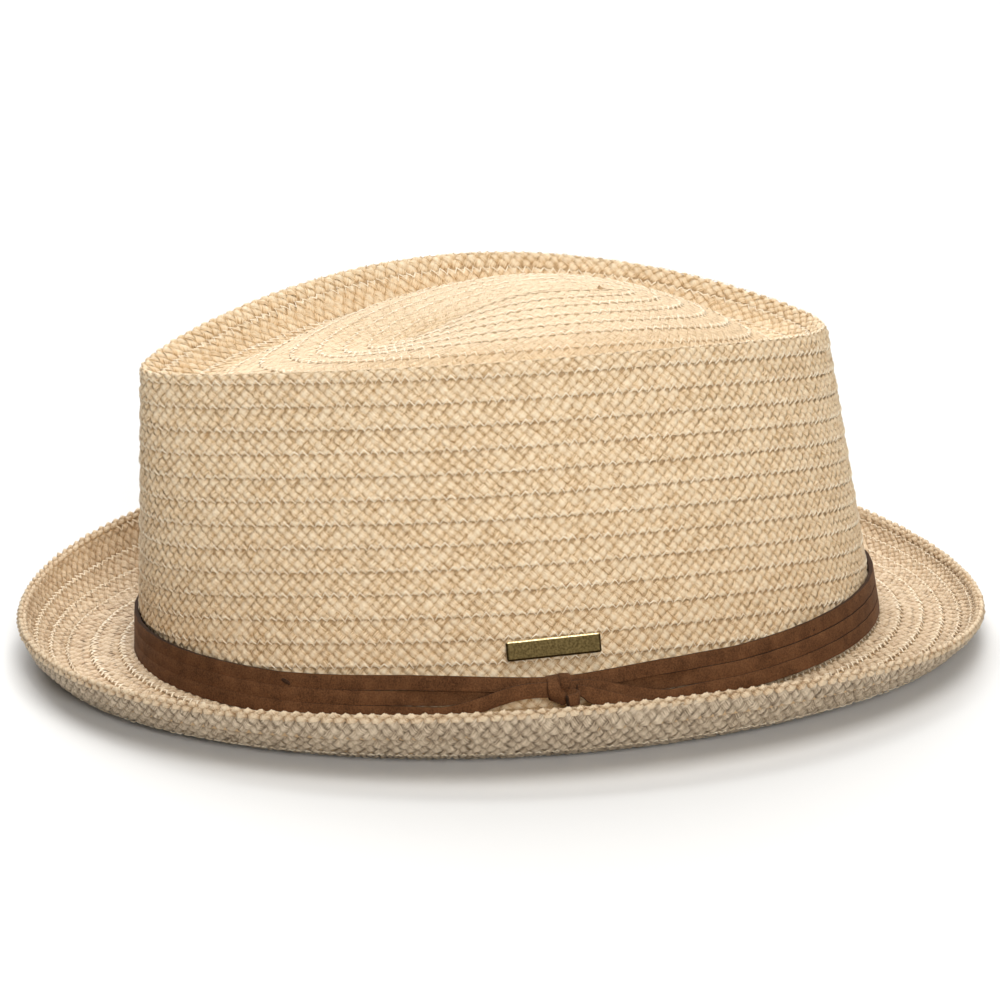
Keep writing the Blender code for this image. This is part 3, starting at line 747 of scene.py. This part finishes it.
def softened(node_name):
    """The solid's lace, edges rounded and darker as cut edges and painted shade, raised where
    gathered.
    """
    lace = bmesh.new()
    lace.from_mesh(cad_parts[node_name].data)
    bmesh.ops.remove_doubles(lace, verts=lace.verts, dist=LACE_MERGE)
    bmesh.ops.dissolve_limit(lace, angle_limit=LACE_FLATNESS, verts=lace.verts, edges=lace.edges)
    lace.normal_update()
    if node_name in LACE_RISES:
        for vertex in lace.verts:
            angle = math.atan2(vertex.co.x / HALF_WIDTH, (HEAD_Y - vertex.co.y) / HALF_LENGTH)
            run = (angle % math.tau - KNOT_ANGLE) * HALF_LENGTH * 1000
            vertex.co.z += (np.interp(run, *LACE_RISES[node_name]) / 1000
                            + math.copysign(LACE_SPREAD, vertex.normal.z))
    sharp = [edge for edge in lace.edges
             if len(edge.link_faces) == 2 and edge.calc_face_angle() > LACE_CORNER]
    bmesh.ops.bevel(lace, geom=sharp, offset=LACE_ROUNDING, offset_type="OFFSET", segments=2,
                    profile=0.5, affect="EDGES", material=-1, clamp_overlap=True)
    bmesh.ops.triangulate(lace, faces=[face for face in lace.faces if len(face.verts) > 4])
    lace.normal_update()
    # Faces that face up or down take the darker suede: cut edges, and painted shade between laces.
    for face in lace.faces:
        face.material_index = 1 if abs(face.normal.z) > SHADED_EDGE_SLOPE else 0
    return lace


for node_name in LACE_NODES:
    if node_name in KNOT_STRAPS:
        lace = strap(KNOT_STRAPS[node_name], node_name == "knot_wrap")
    else:
        lace = softened(node_name)
    lace_mesh = bpy.data.meshes.new(node_name + "_suede")
    lace.to_mesh(lace_mesh)
    lace.free()
    lace_mesh.shade_smooth()
    lace_mesh.materials.append(suede)
    lace_mesh.materials.append(cut_and_shaded_suede)
    lace_piece = bpy.data.objects.new(node_name + "_suede", lace_mesh)
    bpy.context.scene.collection.objects.link(lace_piece)
    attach(lace_piece, "root")
    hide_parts(node_name)

for tack_number, (run, height, slant) in enumerate(TACKS, start=1):
    knotted = bmesh.new()
    bmesh.ops.create_uvsphere(knotted, u_segments=16, v_segments=8, radius=1)
    lean = math.radians(slant)
    for vertex in knotted.verts:
        long, across, out = np.array(vertex.co) * TACK_SIZE
        place = np.array([long * math.cos(lean) - across * math.sin(lean) + run / 1000,
                          long * math.sin(lean) + across * math.cos(lean) + height / 1000,
                          out + TACK_STAND])
        vertex.co = on_band(*place[:, None])[0]
    tack_mesh = bpy.data.meshes.new("tack_stitch")
    knotted.to_mesh(tack_mesh)
    knotted.free()
    tack_mesh.shade_smooth()
    # The tack takes the darker suede: painted shade of its hole as well as the stitch's own colour.
    tack_mesh.materials.append(cut_and_shaded_suede)
    tack = bpy.data.objects.new("tack_stitch_%d" % tack_number, tack_mesh)
    bpy.context.scene.collection.objects.link(tack)
    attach(tack, "root")

# Plaque. A small cast plate of antiqued brass, dark on its bare face and bright along the top of
# its bevelled edge, partly rubbed and partly a painted highlight from the light above; it is pinned
# through the straw just above the band.
PLAQUE_ROUNDING = 0.00018
PLAQUE_MERGE = 0.00002
PLAQUE_FLATNESS = math.radians(2)
PLAQUE_CORNER = math.radians(20)
RUBBED_AND_LIT_SLOPE = 0.3


def brass(name, dark, bright, roughness):
    """Brass with a brown patina that is thinner where it has been rubbed."""
    finish = bpy.data.materials.new(name)
    finish.use_nodes = True
    tree = finish.node_tree
    shader = tree.nodes["Principled BSDF"]
    shader.inputs["Metallic"].default_value = 1.0
    place = tree.nodes.new("ShaderNodeTexCoord")
    patina = tree.nodes.new("ShaderNodeTexNoise")
    patina.inputs["Scale"].default_value = 1800.0
    patina.inputs["Detail"].default_value = 3.0
    tree.links.new(place.outputs["Object"], patina.inputs["Vector"])
    coloured(tree, patina.outputs["Fac"], (0.35, dark), (0.68, bright))
    rough = tree.nodes.new("ShaderNodeMapRange")
    rough.inputs["To Min"].default_value = roughness + 0.12
    rough.inputs["To Max"].default_value = roughness - 0.08
    tree.links.new(patina.outputs["Fac"], rough.inputs["Value"])
    tree.links.new(rough.outputs["Result"], shader.inputs["Roughness"])
    grained(tree, patina.outputs["Fac"], 0.15, 0.00005)
    return finish


plate = bmesh.new()
plate.from_mesh(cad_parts["plaque"].data)
bmesh.ops.remove_doubles(plate, verts=plate.verts, dist=PLAQUE_MERGE)
bmesh.ops.dissolve_limit(plate, angle_limit=PLAQUE_FLATNESS, verts=plate.verts, edges=plate.edges)
broad = sorted(plate.faces, key=lambda face: face.calc_area())[-2:]
# Edge faces that face upwards take the bright brass: painted highlight where the light falls from
# above, as well as rubbing.
for face in plate.faces:
    face.material_index = 1 if face not in broad and face.normal.z > RUBBED_AND_LIT_SLOPE else 0
corners = [edge for edge in plate.edges if edge.calc_face_angle() > PLAQUE_CORNER]
bmesh.ops.bevel(plate, geom=corners, offset=PLAQUE_ROUNDING, offset_type="OFFSET", segments=2,
                profile=0.5, affect="EDGES", material=-1, clamp_overlap=True)
plate_mesh = bpy.data.meshes.new("plaque_brass")
plate.to_mesh(plate_mesh)
plate.free()
plate_mesh.materials.append(brass("dark_brass", (0.055, 0.039, 0.015), (0.110, 0.080, 0.032), 0.42))
plate_mesh.materials.append(brass("rubbed_and_lit_brass", (0.45, 0.33, 0.15), (0.85, 0.72, 0.45), 0.30))
plaque = bpy.data.objects.new("plaque_brass", plate_mesh)
bpy.context.scene.collection.objects.link(plaque)
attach(plaque, "root")
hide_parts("plaque")
